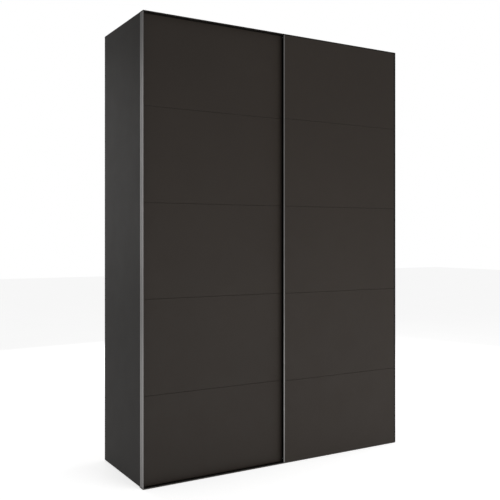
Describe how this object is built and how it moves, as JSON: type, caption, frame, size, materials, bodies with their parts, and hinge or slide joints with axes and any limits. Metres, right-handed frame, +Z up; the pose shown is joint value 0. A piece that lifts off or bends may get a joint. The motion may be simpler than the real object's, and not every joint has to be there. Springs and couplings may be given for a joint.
{
  "type": "sliding-door wardrobe",
  "caption": "Tall wardrobe with sliding doors in dark graphite board, each leaf divided by fine grooves, with slim aluminium grip profiles.",
  "frame": {"origin": "bottom centre of the bounding box, on the floor", "axes": "+Z up; -Y out of the front, the side with the doors; +X to the right seen from the front"},
  "size_m": [1.6, 0.59, 2.36],
  "materials": {
    "graphite_board": "dark graphite melamine on chipboard, satin",
    "graphite_edge": "dark plastic strip, matt",
    "interior_board": "pale grey melamine on chipboard with a fine linen texture",
    "back_board": "thin fibreboard with a pale grey printed face",
    "anodised": "satin anodised aluminium",
    "dark_anodised": "dark anodised aluminium, satin",
    "bright_tube": "bright plated tube",
    "steel": "zinc-plated steel",
    "black_nylon": "black nylon"
  },
  "bodies": {
    "carcass": {"back_joining_strip": "graphite_edge", "back_panel_left": "back_board", "back_panel_right": "back_board", "bottom_panel": "interior_board", "bottom_track": "dark_anodised", "centre_partition": "interior_board", "clothes_rail_left": "bright_tube", "clothes_rail_right": "bright_tube", "front_plinth": "graphite_board", "hat_shelf_left": "interior_board", "hat_shelf_right": "interior_board", "left_side_cover": "anodised", "left_side_panel": "graphite_board", "levelling_foot_front_left": "black_nylon", "levelling_foot_front_right": "black_nylon", "levelling_foot_rear_left": "black_nylon", "levelling_foot_rear_right": "black_nylon", "lower_shelf_left": "interior_board", "lower_shelf_right": "interior_board", "rail_bracket_left_left": "steel", "rail_bracket_left_right": "steel", "rail_bracket_right_left": "steel", "rail_bracket_right_right": "steel", "rear_plinth": "graphite_board", "right_side_cover": "dark_anodised", "right_side_panel": "graphite_board", "top_panel": "graphite_board", "top_track": "dark_anodised"},
    "left_door": {"left_door_bottom_profile": "anodised", "left_door_edge_stile": "dark_anodised", "left_door_grip_stile": "dark_anodised", "left_door_grip_strip": "anodised", "left_door_guide_left": "black_nylon", "left_door_guide_right": "black_nylon", "left_door_panel_1": "graphite_board", "left_door_panel_2": "graphite_board", "left_door_panel_3": "graphite_board", "left_door_panel_4": "graphite_board", "left_door_panel_5": "graphite_board", "left_door_top_profile": "anodised", "left_door_wheel_carriage_left": "steel", "left_door_wheel_carriage_right": "steel"},
    "left_door_wheel_left": {"left_door_wheel_left": "black_nylon"},
    "left_door_wheel_right": {"left_door_wheel_right": "black_nylon"},
    "right_door": {"right_door_bottom_profile": "anodised", "right_door_edge_stile": "dark_anodised", "right_door_grip_stile": "dark_anodised", "right_door_grip_strip": "anodised", "right_door_guide_left": "black_nylon", "right_door_guide_right": "black_nylon", "right_door_panel_1": "graphite_board", "right_door_panel_2": "graphite_board", "right_door_panel_3": "graphite_board", "right_door_panel_4": "graphite_board", "right_door_panel_5": "graphite_board", "right_door_top_profile": "anodised", "right_door_wheel_carriage_left": "steel", "right_door_wheel_carriage_right": "steel"},
    "right_door_wheel_left": {"right_door_wheel_left": "black_nylon"},
    "right_door_wheel_right": {"right_door_wheel_right": "black_nylon"}
  },
  "joints": [
    {"name": "left_door_slide", "type": "slide", "parent": "carcass", "child": "left_door", "axis": [1, 0, 0], "range_m": [0, 0.774]},
    {"name": "left_door_wheel_left_spin", "type": "hinge", "parent": "left_door", "child": "left_door_wheel_left", "pos_m": [-0.7268, -0.25285, 0.0144], "axis": [0, 1, 0], "continuous": true},
    {"name": "left_door_wheel_right_spin", "type": "hinge", "parent": "left_door", "child": "left_door_wheel_right", "pos_m": [-0.048, -0.25285, 0.0144], "axis": [0, 1, 0], "continuous": true},
    {"name": "right_door_slide", "type": "slide", "parent": "carcass", "child": "right_door", "axis": [1, 0, 0], "range_m": [-0.805, 0]},
    {"name": "right_door_wheel_left_spin", "type": "hinge", "parent": "right_door", "child": "right_door_wheel_left", "pos_m": [0.079, -0.28085, 0.0144], "axis": [0, 1, 0], "continuous": true},
    {"name": "right_door_wheel_right_spin", "type": "hinge", "parent": "right_door", "child": "right_door_wheel_right", "pos_m": [0.7268, -0.28085, 0.0144], "axis": [0, 1, 0], "continuous": true}
  ],
  "couplings": [
    {"joint": "left_door_wheel_left_spin", "follows": "left_door_slide", "rad_per_m": 105.26},
    {"joint": "left_door_wheel_right_spin", "follows": "left_door_slide", "rad_per_m": 105.26},
    {"joint": "right_door_wheel_left_spin", "follows": "right_door_slide", "rad_per_m": 105.26},
    {"joint": "right_door_wheel_right_spin", "follows": "right_door_slide", "rad_per_m": 105.26}
  ]
}
